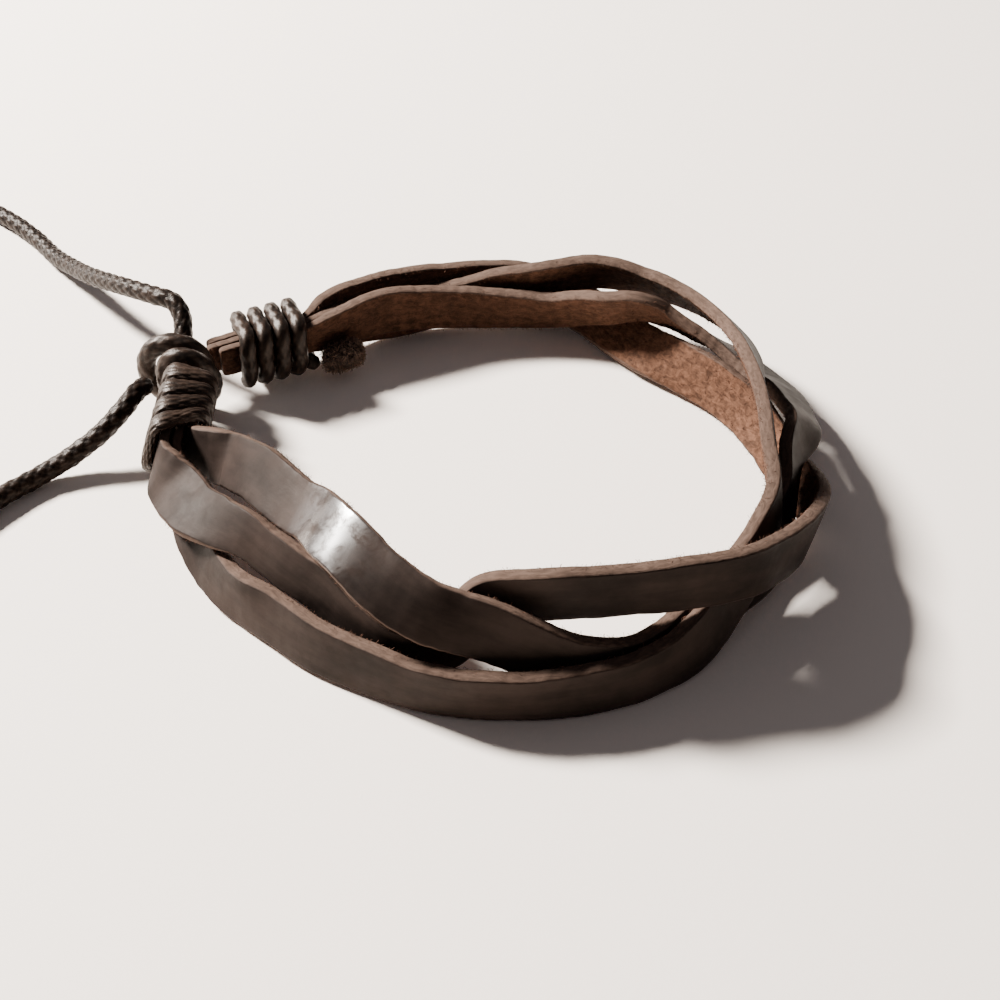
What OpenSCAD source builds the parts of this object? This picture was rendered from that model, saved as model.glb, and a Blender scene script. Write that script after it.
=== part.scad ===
/* [Leather] */
// Width of each flat strap where it is free
strap_w = 5.8; // [5.2:0.1:6]
// Thickness of the leather
strap_t = 1.5; // [1.2:0.1:1.6]
// Rings swept between two rows of a strap's table
rings_per_row = 4; // [3:1:5]

/* [Waxed cord] */
// Thickness of the cord of the two free tails
tail_d = 2.2; // [1.8:0.1:2.3]
// Thickness of the cord in the tight turns
turn_d = 1.9; // [1.6:0.1:2.1]
// Turns of cord round the straps at the back
back_turns = 4; // [3:1:4]
// Turns of cord round the straps at the front
front_turns = 3.5; // [2.5:1:4.5]

/* [Hidden] */

// Columns of a strap's table. The angle goes round the ring as seen from above, from the right,
// the radius and height are the middle of the strap, the lean is how far its upper edge tips
// inwards. The width and thickness are shares of strap_w and strap_t, less in the wraps, where
// the cord squeezes the straps.
ANGLE = 0;
RADIUS = 1;
HEIGHT = 2;
LEAN = 3;
WIDTH = 4;
THICKNESS = 5;

// Columns of each table: angle, radius, height, lean, width, thickness.

// The strap that is on top along the front, and outside at the back
outer_rows = [
    [162, 34.07, 5.45, 18, 0.92, 0.68],
    [168, 33.13, 5.45, 18, 0.92, 0.68],
    [173, 32.63, 5.45, 18, 0.92, 0.68],
    [178, 32.4, 5.45, 18, 0.92, 0.68],
    [183, 32.4, 5.4, 21, 0.92, 0.72],
    [187, 31.7, 5.3, 40, 0.96, 1],
    [192, 30.4, 5.3, 56, 1, 1],
    [200, 29.2, 5.95, 59, 1, 1],
    [208, 27.65, 6.95, 51, 0.9, 1],
    [215, 26.45, 7.55, 40, 0.78, 1],
    [222, 25.9, 7.4, 30, 0.78, 1],
    [229, 25.8, 7.25, 25, 0.82, 1],
    [238, 25.9, 6.8, 18, 0.88, 1],
    [248, 27.1, 4.9, 10, 1, 1],
    [257, 28, 4.1, 4, 1, 1],
    [265, 26.9, 4.7, 2, 1, 1],
    [270, 25.8, 6.9, 3, 1, 1],
    [275, 25.6, 9, 1, 1, 1],
    [285, 26.9, 10.1, -3, 1, 1],
    [297, 28.4, 9.9, -2, 1, 1],
    [308, 30.9, 9.85, 0, 1, 1],
    [319, 33.3, 8.9, 0, 1, 1],
    [327, 34, 7.5, 0, 1, 1],
    [335, 34.7, 6.2, -4, 1, 1],
    [342, 34.9, 4.9, -12, 0.95, 1],
    [350, 34.8, 3.6, -22, 0.88, 1],
    [357, 33.6, 2.8, -37, 0.8, 1],
    [364, 32.4, 2.2, -51, 0.8, 1],
    [371, 32, 2.2, -52, 0.86, 1],
    [379, 31.3, 2.65, -34, 0.95, 1],
    [388, 30.3, 3, -22, 1, 1],
    [398, 29.4, 2.9, -30, 1, 1],
    [406, 29.3, 2.6, -48, 1, 1],
    [413, 29.9, 2.32, -57, 1, 1],
    [420, 31.2, 2.35, -55, 1, 1],
    [430, 33.4, 2.7, -42, 1, 1],
    [441, 33.6, 4.2, -6, 1, 1],
    [452, 32.3, 5, 2, 1, 1],
    [463, 31.8, 5.2, 2, 1, 1],
    [474, 31.7, 5.2, 2, 1, 1],
    [484, 31.5, 5, 1, 0.88, 1],
    [491, 30.4, 4.95, 0, 0.62, 0.68],
    [498, 31.6, 4.95, 0, 0.62, 0.68],
    [505, 33.5, 4.95, 0, 0.62, 0.68],
    [509.5, 35.14, 4.95, 0, 0.62, 0.68]
];

// The strap that is on top at the front left, and inside at the back
inner_rows = [
    [161.5, 31.78, 4.75, 18, 0.92, 0.68],
    [173, 30.37, 4.75, 18, 0.92, 0.68],
    [177, 30.13, 4.75, 18, 0.92, 0.68],
    [180.5, 28.8, 5.5, 21, 0.94, 0.8],
    [184, 26.7, 6.2, 26, 1, 1],
    [187.5, 25.1, 6.8, 31, 1, 1],
    [192, 24.1, 7.8, 36, 1, 1],
    [202, 22.5, 9.2, 44, 1, 1],
    [212, 21.8, 9.6, 50, 1, 1],
    [221, 21.6, 9.9, 52, 0.97, 1],
    [229, 21.92, 10.87, 55, 0.97, 1],
    [237, 23.36, 11.82, 60, 1, 1],
    [245, 24.9, 11.9, 60, 1, 1],
    [253, 26.5, 10.9, 52, 1, 1],
    [261, 27.75, 9.7, 39, 1, 1],
    [268, 28.15, 8.75, 28, 1, 1],
    [274, 28.6, 7.9, 19, 1, 1],
    [281, 29.6, 6.3, 10, 1, 1],
    [288, 30.5, 4.5, 4, 1, 1],
    [296, 31, 3.2, 2, 1, 1],
    [304, 31, 3, 6, 1, 1],
    [314, 30.3, 3, 18, 1, 1],
    [324, 30.15, 2.7, 38, 1, 1],
    [333, 31, 2.35, 48, 0.95, 1],
    [342, 31.6, 2.9, 30, 0.85, 1],
    [350, 32.15, 4.5, 12, 0.8, 1],
    [357, 32.5, 6.7, 22, 0.8, 1],
    [364, 34.22, 6.52, 44, 0.82, 1],
    [371, 34.8, 5.4, 50, 0.9, 1],
    [378, 35.4, 4.4, 54, 1, 1],
    [386, 35.5, 3.4, 60, 1, 1],
    [394, 34.6, 4, 54, 1, 1],
    [401, 33, 5.2, 43, 1, 1],
    [407, 31.9, 6.25, 39, 1, 1],
    [412, 30.12, 7.28, 36, 1, 1],
    [418, 29, 6.6, 30, 1, 1],
    [424, 29.1, 5.5, 26, 1, 1],
    [433, 29.1, 4.1, 22, 1, 1],
    [443, 28.5, 4, 14, 1, 1],
    [453, 28.2, 4.3, 8, 1, 1],
    [463, 28.2, 4.7, 6, 1, 1],
    [473, 28.2, 5.2, 4, 1, 1],
    [484, 28, 5, 2, 0.88, 1],
    [493, 28.26, 4.95, 0, 0.62, 0.68],
    [500, 29.65, 4.95, 0, 0.62, 0.68],
    [508, 31.93, 4.95, 0, 0.62, 0.68],
    [510.5, 32.85, 4.95, 0, 0.62, 0.68]
];

// The strap that lies on the floor along the front, and is on top at the right and back
lower_rows = [
    [161.5, 32.97, 5.1, 18, 0.92, 0.68],
    [173, 31.5, 5.1, 18, 0.92, 0.68],
    [178, 31.27, 5.05, 18, 0.9, 0.68],
    [183, 31.15, 4.65, 21, 0.86, 0.68],
    [187, 30.15, 3.85, 38, 0.8, 0.85],
    [192, 29.45, 3.55, 50, 0.82, 1],
    [200, 29.35, 3.1, 48, 0.84, 1],
    [208, 29.4, 2.66, 30, 0.84, 1],
    [216, 29.35, 2.87, 17, 0.9, 1],
    [222, 29.1, 3, 8, 1, 1],
    [230, 28.7, 3.05, 13, 1, 1],
    [241, 29.2, 3.02, 9, 1, 1],
    [252, 29.8, 3, 5, 1, 1],
    [264, 31, 3, -2, 1, 1],
    [276, 31.8, 3, -4, 1, 1],
    [288, 32.5, 3, 0, 1, 1],
    [299, 32.9, 3, 3, 1, 1],
    [310, 32.5, 3.25, 14, 1, 1],
    [320, 31.45, 4.6, 20, 1, 1],
    [330, 31.3, 6.5, 12, 1, 1],
    [340, 31.1, 7.8, 8, 0.92, 1],
    [350, 29.85, 9.1, 12, 0.84, 1],
    [359, 29.7, 9.3, 14, 0.86, 1],
    [368, 30.1, 9.1, 18, 0.9, 1],
    [378, 31.1, 8.7, 25, 1, 1],
    [386, 32.6, 8.4, 38, 1, 1],
    [394, 33.8, 8.1, 42, 1, 1],
    [403, 34.5, 7.9, 39, 1, 1],
    [414, 34.4, 7.8, 33, 1, 1],
    [425, 33.2, 7.95, 27, 1, 1],
    [436, 30.9, 6.9, 22, 1, 1],
    [446, 30.6, 5.4, 16, 1, 1],
    [456, 30.2, 3.8, 6, 1, 1],
    [468, 30.05, 3.1, -2, 1, 1],
    [480, 29.9, 3.7, -1, 0.95, 1],
    [492, 29.3, 4.95, 0, 0.62, 0.68],
    [499, 30.6, 4.95, 0, 0.62, 0.68],
    [506, 32.6, 4.95, 0, 0.62, 0.68],
    [511, 34.4, 4.95, 0, 0.62, 0.68]
];

// Brings the middle of the bracelet, without its free tails, over the origin
centre_shift = [0.59, -0.84, 0];

// How far the corners of a strap's section are cut back
corner = 0.35;

// A value between p1 and p2 on the smooth curve through four values
function smooth(p0, p1, p2, p3, u) =
    p1 + 0.5 * u * (p2 - p0
        + u * (2 * p0 - 5 * p1 + 4 * p2 - p3 + u * (3 * (p1 - p2) + p3 - p0)));

// The row at place u, counted in rows from the first
function row_at(rows, u) =
    let (i = max(min(floor(u), len(rows) - 2), 0), last = len(rows) - 1)
    smooth(rows[max(i - 1, 0)], rows[i], rows[i + 1], rows[min(i + 2, last)], u - i);

function unit(v) = v / norm(v);

// The direction that points out of the ring at an angle
function outward(angle) = [cos(angle), sin(angle), 0];

function middle_of(row) = row[RADIUS] * outward(row[ANGLE]) + [0, 0, row[HEIGHT]];

// The section of a strap, as shares of its width and thickness before its corners are cut
function section(w, t) = [
    [w / 2 - corner, -t / 2], [w / 2, -t / 2 + corner], [w / 2, t / 2 - corner],
    [w / 2 - corner, t / 2], [-w / 2 + corner, t / 2], [-w / 2, t / 2 - corner],
    [-w / 2, -t / 2 + corner], [-w / 2 + corner, -t / 2]
];

// The points of one ring of a strap
function strap_ring(rows, u) =
    let (
        row = row_at(rows, u),
        step = 0.05,
        along = unit(middle_of(row_at(rows, u + step)) - middle_of(row_at(rows, u - step))),
        tilted = -sin(row[LEAN]) * outward(row[ANGLE]) + [0, 0, cos(row[LEAN])],
        across = unit(tilted - (tilted * along) * along),
        out = cross(along, across)
    )
    [for (p = section(strap_w * row[WIDTH], strap_t * row[THICKNESS]))
        middle_of(row) + p[0] * across + p[1] * out];

// A closed skin over rings of n points, with flat ends
module skin(rings) {
    n = len(rings[0]);
    last = len(rings) - 1;
    polyhedron(
        points = [for (ring = rings) each ring],
        faces = concat(
            [[for (k = [0 : n - 1]) k]],
            [for (i = [0 : last - 1], k = [0 : n - 1])
                let (a = i * n + k, b = i * n + (k + 1) % n)
                each [[a, a + n, b], [b, a + n, b + n]]],
            [[for (k = [n - 1 : -1 : 0]) last * n + k]]
        )
    );
}

module strap(rows) {
    steps = (len(rows) - 1) * rings_per_row;
    skin([for (i = [0 : steps]) strap_ring(rows, i / rings_per_row)]);
}

// Where the bundle of straps is in each wrap: the middle, which way it runs as seen from above,
// how far its upper edge tips over, and half the thickness and height that the cord's middle
// line goes round it at
front_middle = [-31.25, 5.35, 5.1];
front_heading = 90;
front_tip = 18;
back_middle = [-23.35, 20.1, 4.95];
back_heading = 26;
back_tip = 0;
half_stack = 1.78;
front_half_height = 2.8;
front_spread = 0.25;
back_half_height = 1.87;

// The cord of the front wrap is pressed flat, so its section is wider along the bundle
flat_cord = [0.6, 1.18];

// The cord's path round a bundle, as a square with round corners
function round_square(angle, a, b) =
    [a * sign(cos(angle)) * pow(abs(cos(angle)), 0.4),
     b * sign(sin(angle)) * pow(abs(sin(angle)), 0.4)];

// How much wider than its middle a wrap is, at one place of its turns. It fans out away from
// the wrist.
function fan(u, spread) = 1 - spread * round_square(360 * u, 1, 1)[0];

// One place on a coil: across the bundle, up, and along it, for a number of turns
function coil_point(u, first, turns, pitch, thick, half_height, tip, spread) =
    let (
        p = round_square(360 * u, half_stack + thick, half_height + thick),
        x = p[0] * cos(tip) + p[1] * sin(tip),
        z = p[1] * cos(tip) - p[0] * sin(tip)
    )
    [x, (turns / 2 - (first + turns - u) * fan(u, spread)) * pitch, z];

// The middle line of a coil, turned to its heading and moved to its middle
function coil_path(middle, heading, tip, first, turns, pitch, thick, half_height, spread) =
    [for (i = [0 : turns * 16])
        let (
            p = coil_point(first + i / 16, first, turns, pitch, thick, half_height, tip, spread),
            side = [sin(heading), -cos(heading), 0],
            along = [cos(heading), sin(heading), 0]
        )
        middle + p[0] * side + p[1] * along + [0, 0, p[2]]];

// One place on the smooth curve through a route's points
function route_at(route, u) =
    let (i = max(min(floor(u), len(route) - 2), 0), last = len(route) - 1)
    smooth(route[max(i - 1, 0)], route[i], route[i + 1], route[min(i + 2, last)], u - i);

function along_path(path, i) =
    unit(path[min(i + 1, len(path) - 1)] - path[max(i - 1, 0)]);

// A cord: rings of eight points along a path, with a radius at each ring. The sideways direction
// is carried from ring to ring, so that the skin doesn't twist.
module cord(path, radii) {
    n = len(path);
    first = unit(cross(along_path(path, 0), [0.31, 0.17, 0.94]));
    rings = [for (i = 0, s = first; i < n;
            i = i + 1, s = i < n ? unit(s - (s * along_path(path, i)) * along_path(path, i)) : s)
        let (t = along_path(path, i), up = cross(t, s))
        [for (k = [0 : 7]) path[i] + radii[i] * (cos(45 * k) * s + sin(45 * k) * up)]];
    skin(rings);
}

module cord_along(route, d, per_gap) {
    path = [for (i = [0 : (len(route) - 1) * per_gap]) route_at(route, i / per_gap)];
    cord(path, [for (p = path) d / 2]);
}

// The turns of cord round a bundle. The section is given as half its thickness and half its width.
module wrap(middle, heading, tip, first, turns, pitch, half_height, half_section, spread) {
    path = coil_path(middle, heading, tip, first, turns, pitch, half_section[0] + 0.1,
        half_height, spread);
    along = [cos(heading), sin(heading), 0];
    skin([for (i = [0 : len(path) - 1])
        let (
            t = along_path(path, i),
            thick = cross(along, unit(t - (along * t) * along))
        )
        [for (k = [0 : 7]) path[i]
            + half_section[0] * cos(45 * k + 22.5) * thick * 1.08
            + half_section[1] * fan(first + i / 16, spread) * sin(45 * k + 22.5) * along * 1.08]]);
}

// The closing knot: one turn round the end of the bundle, beside the front wrap
knot_route = [
    [-30.2, 15.2, 4.4], [-30.3, 15.1, 6.2], [-31.5, 14.9, 7.9], [-33.6, 14.9, 8.5],
    [-35.4, 14.9, 7.8], [-36.5, 14.9, 6.3], [-36.6, 14.8, 4.4], [-35.9, 14.7, 2.7],
    [-34.1, 14.5, 1.5], [-31.9, 14.2, 1.3], [-29.9, 13.6, 2.4], [-29.1, 13.0, 4.4],
    [-29.5, 12.7, 6.4], [-30.6, 12.4, 7.9], [-32.0, 12.3, 8.4], [-33.2, 12.3, 8.0],
    [-33.9, 12.4, 6.7], [-34.0, 12.3, 4.8], [-33.5, 12.1, 3.0], [-32.5, 11.9, 1.9]
];

// The tail that rises from the knot and lies out to the back left
upper_route = [
    [-32.6, 14.2, 5.0], [-32.9, 16.4, 5.6], [-32.9, 18.6, 7.1], [-33.2, 20.3, 8.4],
    [-34.3, 21.9, 9.2], [-36.6, 23.3, 9.1], [-40.9, 27.0, 7.9], [-46.0, 32.7, 5.5],
    [-50.0, 38.4, 3.2], [-54.0, 43.8, 1.6], [-57.2, 48.3, 1.2], [-61.0, 52.4, 1.2],
    [-66.4, 57.0, 1.2]
];

// The tail that loops round the outside of the knot and lies out to the left
lower_route = [
    [-36.3, 11.9, 5.0], [-36.5, 10.6, 5.4], [-37.0, 9.0, 5.6], [-37.9, 7.0, 5.2],
    [-39.4, 5.2, 4.2], [-41.2, 4.0, 3.1], [-43.4, 2.7, 2.0], [-46.3, 0.7, 1.2],
    [-49.4, -2.6, 1.2], [-51.8, -6.0, 1.2],
    [-53.8, -9.5, 1.2], [-55.6, -13.0, 1.2]
];

// The frayed end of the cord that comes out from under the back wrap
end_route = [[-17.6, 19.6, 2.6], [-16.2, 20.1, 2.7], [-14.9, 20.7, 2.8], [-13.4, 21.3, 2.7]];
end_radii = [1.45, 1.6, 1.65, 1.5];

module outer_strap() {
    translate(centre_shift) color("#3a2c26") strap(outer_rows);
}

module inner_strap() {
    translate(centre_shift) color("#45352e") strap(inner_rows);
}

module lower_strap() {
    translate(centre_shift) color("#3f302a") strap(lower_rows);
}

module front_wrap() {
    translate(centre_shift) color("#54483f")
        wrap(front_middle, front_heading, front_tip, 0, front_turns, 2.45,
            front_half_height, flat_cord, front_spread);
}

module back_wrap() {
    translate(centre_shift) color("#54483f")
        wrap(back_middle, back_heading, back_tip, -0.15, back_turns, turn_d + 0.1, back_half_height,
            [turn_d / 2, turn_d / 2], 0);
}

module closure_knot() {
    translate(centre_shift) color("#4e433b") cord_along(knot_route, tail_d, 3);
}

module upper_tail() {
    translate(centre_shift) color("#4e433b") cord_along(upper_route, tail_d, 2);
}

module lower_tail() {
    translate(centre_shift) color("#4e433b") cord_along(lower_route, tail_d, 2);
}

module cord_end() {
    path = [for (i = [0 : 6]) route_at(end_route, i / 2)];
    translate(centre_shift) color("#7a6a5c")
        cord(path, [for (i = [0 : 6]) route_at(end_radii, i / 2)]);
}

outer_strap();
inner_strap();
lower_strap();
front_wrap();
back_wrap();
closure_knot();
upper_tail();
lower_tail();
cord_end();
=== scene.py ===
import math

import bpy
import numpy as np
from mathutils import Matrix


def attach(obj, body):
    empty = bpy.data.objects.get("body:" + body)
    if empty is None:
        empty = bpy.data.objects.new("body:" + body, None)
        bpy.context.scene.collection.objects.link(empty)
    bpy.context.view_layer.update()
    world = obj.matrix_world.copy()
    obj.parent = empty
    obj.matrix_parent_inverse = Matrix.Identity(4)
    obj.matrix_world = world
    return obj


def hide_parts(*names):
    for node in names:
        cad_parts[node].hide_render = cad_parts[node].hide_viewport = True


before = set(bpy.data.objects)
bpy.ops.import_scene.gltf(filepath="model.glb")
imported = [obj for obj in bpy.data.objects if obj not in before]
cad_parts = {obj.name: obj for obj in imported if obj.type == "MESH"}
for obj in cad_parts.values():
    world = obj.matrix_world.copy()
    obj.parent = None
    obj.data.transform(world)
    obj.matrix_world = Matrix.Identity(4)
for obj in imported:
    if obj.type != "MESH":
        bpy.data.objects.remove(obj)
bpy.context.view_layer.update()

bl_info = {
    "name": "Leather bracelet",
    "version": (1, 0, 0),
    "blender": (4, 5, 0),
    "location": "View3D > Sidebar > Bracelet",
    "description": "Twisted flat leather straps held by wraps of waxed cord, on a pale floor",
    "category": "Object",
}

MM = 0.001

# Brings the middle of the bracelet, without its free tails, over the origin, in millimetres
SHIFT = np.array([0.59, -0.84, 0.0])

# How finely the pieces are made: rings for each row of a strap's table, points for each stretch of
# a cord's route and each turn of a wrap, the gaps between a cord's rings in millimetres, and the
# points round each ring
RINGS_A_ROW = 18
POINTS_A_STRETCH = 30
POINTS_A_TURN = 260
CORD_GAP = 0.15
COIL_GAP = 0.16
END_GAP = 0.1
CORD_SIDES = 36
WRAP_SIDES = 32
FLAT_WRAP_SIDES = 56

# The braid of each cord: how many strands, and the length in millimetres after which it repeats
BRAID = {"strands": 6, "pitch": 1.7}
WRAP_BRAID = {"strands": 6, "pitch": 1.6}
FLAT_BRAID = {"strands": 10, "pitch": 2.2}
STUB_BRAID = {"strands": 7, "pitch": 1.5}

# The front wrap's cord, pressed flat: half its thickness and half its width, in millimetres
FLAT_CORD = (0.66, 1.22)

# How far the corners of a strap's section are rounded, and how far its cut edges and its outer
# face bulge, in millimetres
CORNER = 0.3
EDGE_BULGE = 0.03
FACE_BULGE = 0.05

# The camera: the point it looks at in millimetres, its angle above the floor, how far away it
# stands in metres, and its lens on a 36 mm sensor
CAMERA_AIM = (3.19, -8.24, 5.0)
CAMERA_RISE = 41
CAMERA_AWAY = 0.150
CAMERA_LENS = 54

# Half the floor's side in metres, and its squares along one side
FLOOR_HALF = 1.0
FLOOR_SQUARES = 24

# Loose fibres: how many grow on a square metre at full nap, the longest one's length and radius in
# metres, and how far they lean either way in radians
FRAYED = {"density": 9e7, "length": 0.00055, "radius": 0.00005, "spread": 1.3}
FUZZ = {"density": 1.1e7, "length": 0.0004, "radius": 0.000022, "spread": 1.1}

# Where the inner strap is rubbed to a shine, as an angle round the ring, and an angle that no
# strap reaches
RUBBED_AT = 238
NOT_RUBBED = -90

# Each strap's table: angle round the ring, radius, height, lean of the upper edge inwards, and
# the shares of the full width and thickness. Lengths are in millimetres. The rows are those of the
# CAD part.
OUTER_ROWS = [
    (162, 34.07, 5.45, 18, 0.92, 0.68),
    (168, 33.13, 5.45, 18, 0.92, 0.68),
    (173, 32.63, 5.45, 18, 0.92, 0.68),
    (178, 32.4, 5.45, 18, 0.92, 0.68),
    (183, 32.4, 5.4, 21, 0.92, 0.72),
    (187, 31.7, 5.3, 40, 0.96, 1),
    (192, 30.4, 5.3, 56, 1, 1),
    (200, 29.2, 5.95, 59, 1, 1),
    (208, 27.65, 6.95, 51, 0.9, 1),
    (215, 26.45, 7.55, 40, 0.78, 1),
    (222, 25.9, 7.4, 30, 0.78, 1),
    (229, 25.8, 7.25, 25, 0.82, 1),
    (238, 25.9, 6.8, 18, 0.88, 1),
    (248, 27.1, 4.9, 10, 1, 1),
    (257, 28, 4.1, 4, 1, 1),
    (265, 26.9, 4.7, 2, 1, 1),
    (270, 25.8, 6.9, 3, 1, 1),
    (275, 25.6, 9, 1, 1, 1),
    (285, 26.9, 10.1, -3, 1, 1),
    (297, 28.4, 9.9, -2, 1, 1),
    (308, 30.9, 9.85, 0, 1, 1),
    (319, 33.3, 8.9, 0, 1, 1),
    (327, 34, 7.5, 0, 1, 1),
    (335, 34.7, 6.2, -4, 1, 1),
    (342, 34.9, 4.9, -12, 0.95, 1),
    (350, 34.8, 3.6, -22, 0.88, 1),
    (357, 33.6, 2.8, -37, 0.8, 1),
    (364, 32.4, 2.2, -51, 0.8, 1),
    (371, 32, 2.2, -52, 0.86, 1),
    (379, 31.3, 2.65, -34, 0.95, 1),
    (388, 30.3, 3, -22, 1, 1),
    (398, 29.4, 2.9, -30, 1, 1),
    (406, 29.3, 2.6, -48, 1, 1),
    (413, 29.9, 2.32, -57, 1, 1),
    (420, 31.2, 2.35, -55, 1, 1),
    (430, 33.4, 2.7, -42, 1, 1),
    (441, 33.6, 4.2, -6, 1, 1),
    (452, 32.3, 5, 2, 1, 1),
    (463, 31.8, 5.2, 2, 1, 1),
    (474, 31.7, 5.2, 2, 1, 1),
    (484, 31.5, 5, 1, 0.88, 1),
    (491, 30.4, 4.95, 0, 0.62, 0.68),
    (498, 31.6, 4.95, 0, 0.62, 0.68),
    (505, 33.5, 4.95, 0, 0.62, 0.68),
    (509.5, 35.14, 4.95, 0, 0.62, 0.68)
]
INNER_ROWS = [
    (161.5, 31.78, 4.75, 18, 0.92, 0.68),
    (173, 30.37, 4.75, 18, 0.92, 0.68),
    (177, 30.13, 4.75, 18, 0.92, 0.68),
    (180.5, 28.8, 5.5, 21, 0.94, 0.8),
    (184, 26.7, 6.2, 26, 1, 1),
    (187.5, 25.1, 6.8, 31, 1, 1),
    (192, 24.1, 7.8, 36, 1, 1),
    (202, 22.5, 9.2, 44, 1, 1),
    (212, 21.8, 9.6, 50, 1, 1),
    (221, 21.6, 9.9, 52, 0.97, 1),
    (229, 21.92, 10.87, 55, 0.97, 1),
    (237, 23.36, 11.82, 60, 1, 1),
    (245, 24.9, 11.9, 60, 1, 1),
    (253, 26.5, 10.9, 52, 1, 1),
    (261, 27.75, 9.7, 39, 1, 1),
    (268, 28.15, 8.75, 28, 1, 1),
    (274, 28.6, 7.9, 19, 1, 1),
    (281, 29.6, 6.3, 10, 1, 1),
    (288, 30.5, 4.5, 4, 1, 1),
    (296, 31, 3.2, 2, 1, 1),
    (304, 31, 3, 6, 1, 1),
    (314, 30.3, 3, 18, 1, 1),
    (324, 30.15, 2.7, 38, 1, 1),
    (333, 31, 2.35, 48, 0.95, 1),
    (342, 31.6, 2.9, 30, 0.85, 1),
    (350, 32.15, 4.5, 12, 0.8, 1),
    (357, 32.5, 6.7, 22, 0.8, 1),
    (364, 34.22, 6.52, 44, 0.82, 1),
    (371, 34.8, 5.4, 50, 0.9, 1),
    (378, 35.4, 4.4, 54, 1, 1),
    (386, 35.5, 3.4, 60, 1, 1),
    (394, 34.6, 4, 54, 1, 1),
    (401, 33, 5.2, 43, 1, 1),
    (407, 31.9, 6.25, 39, 1, 1),
    (412, 30.12, 7.28, 36, 1, 1),
    (418, 29, 6.6, 30, 1, 1),
    (424, 29.1, 5.5, 26, 1, 1),
    (433, 29.1, 4.1, 22, 1, 1),
    (443, 28.5, 4, 14, 1, 1),
    (453, 28.2, 4.3, 8, 1, 1),
    (463, 28.2, 4.7, 6, 1, 1),
    (473, 28.2, 5.2, 4, 1, 1),
    (484, 28, 5, 2, 0.88, 1),
    (493, 28.26, 4.95, 0, 0.62, 0.68),
    (500, 29.65, 4.95, 0, 0.62, 0.68),
    (508, 31.93, 4.95, 0, 0.62, 0.68),
    (510.5, 32.85, 4.95, 0, 0.62, 0.68)
]
LOWER_ROWS = [
    (161.5, 32.97, 5.1, 18, 0.92, 0.68),
    (173, 31.5, 5.1, 18, 0.92, 0.68),
    (178, 31.27, 5.05, 18, 0.9, 0.68),
    (183, 31.15, 4.65, 21, 0.86, 0.68),
    (187, 30.15, 3.85, 38, 0.8, 0.85),
    (192, 29.45, 3.55, 50, 0.82, 1),
    (200, 29.35, 3.1, 48, 0.84, 1),
    (208, 29.4, 2.66, 30, 0.84, 1),
    (216, 29.35, 2.87, 17, 0.9, 1),
    (222, 29.1, 3, 8, 1, 1),
    (230, 28.7, 3.05, 13, 1, 1),
    (241, 29.2, 3.02, 9, 1, 1),
    (252, 29.8, 3, 5, 1, 1),
    (264, 31, 3, -2, 1, 1),
    (276, 31.8, 3, -4, 1, 1),
    (288, 32.5, 3, 0, 1, 1),
    (299, 32.9, 3, 3, 1, 1),
    (310, 32.5, 3.25, 14, 1, 1),
    (320, 31.45, 4.6, 20, 1, 1),
    (330, 31.3, 6.5, 12, 1, 1),
    (340, 31.1, 7.8, 8, 0.92, 1),
    (350, 29.85, 9.1, 12, 0.84, 1),
    (359, 29.7, 9.3, 14, 0.86, 1),
    (368, 30.1, 9.1, 18, 0.9, 1),
    (378, 31.1, 8.7, 25, 1, 1),
    (386, 32.6, 8.4, 38, 1, 1),
    (394, 33.8, 8.1, 42, 1, 1),
    (403, 34.5, 7.9, 39, 1, 1),
    (414, 34.4, 7.8, 33, 1, 1),
    (425, 33.2, 7.95, 27, 1, 1),
    (436, 30.9, 6.9, 22, 1, 1),
    (446, 30.6, 5.4, 16, 1, 1),
    (456, 30.2, 3.8, 6, 1, 1),
    (468, 30.05, 3.1, -2, 1, 1),
    (480, 29.9, 3.7, -1, 0.95, 1),
    (492, 29.3, 4.95, 0, 0.62, 0.68),
    (499, 30.6, 4.95, 0, 0.62, 0.68),
    (506, 32.6, 4.95, 0, 0.62, 0.68),
    (511, 34.4, 4.95, 0, 0.62, 0.68)
]

# The wraps: the middle of the bundle in millimetres, its heading and how far its upper edge tips
# over in degrees, where its first turn begins, how many turns there are and how far apart, half the
# bundle's height, and how much the turns fan out away from the wrist. The last value is half the
# thickness of the stack of straps inside either wrap.
FRONT_WRAP = {"middle": (-31.25, 5.35, 5.1), "heading": 90, "tip": 18, "first": 0,
              "turns": 3.5, "pitch": 2.45, "half_height": 2.8, "spread": 0.25}
BACK_WRAP = {"middle": (-23.35, 20.1, 4.95), "heading": 26, "tip": 0, "first": -0.15,
             "turns": 4, "pitch": 2.0, "half_height": 1.87, "spread": 0.0}
HALF_STACK = 1.78

# The cords' routes, in millimetres
KNOT_ROUTE = [
    (-30.2, 15.2, 4.4), (-30.3, 15.1, 6.2), (-31.5, 14.9, 7.9), (-33.6, 14.9, 8.5),
    (-35.4, 14.9, 7.8), (-36.5, 14.9, 6.3), (-36.6, 14.8, 4.4), (-35.9, 14.7, 2.7),
    (-34.1, 14.5, 1.5), (-31.9, 14.2, 1.3), (-29.9, 13.6, 2.4), (-29.1, 13.0, 4.4),
    (-29.5, 12.7, 6.4), (-30.6, 12.4, 7.9), (-32.0, 12.3, 8.4), (-33.2, 12.3, 8.0),
    (-33.9, 12.4, 6.7), (-34.0, 12.3, 4.8), (-33.5, 12.1, 3.0), (-32.5, 11.9, 1.9)
]
UPPER_ROUTE = [
    (-32.6, 14.2, 5.0), (-32.9, 16.4, 5.6), (-32.9, 18.6, 7.1), (-33.2, 20.3, 8.4),
    (-34.3, 21.9, 9.2), (-36.6, 23.3, 9.1), (-40.9, 27.0, 7.9), (-46.0, 32.7, 5.5),
    (-50.0, 38.4, 3.2), (-54.0, 43.8, 1.6), (-57.2, 48.3, 1.2), (-61.0, 52.4, 1.2),
    (-66.4, 57.0, 1.2)
]
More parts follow.
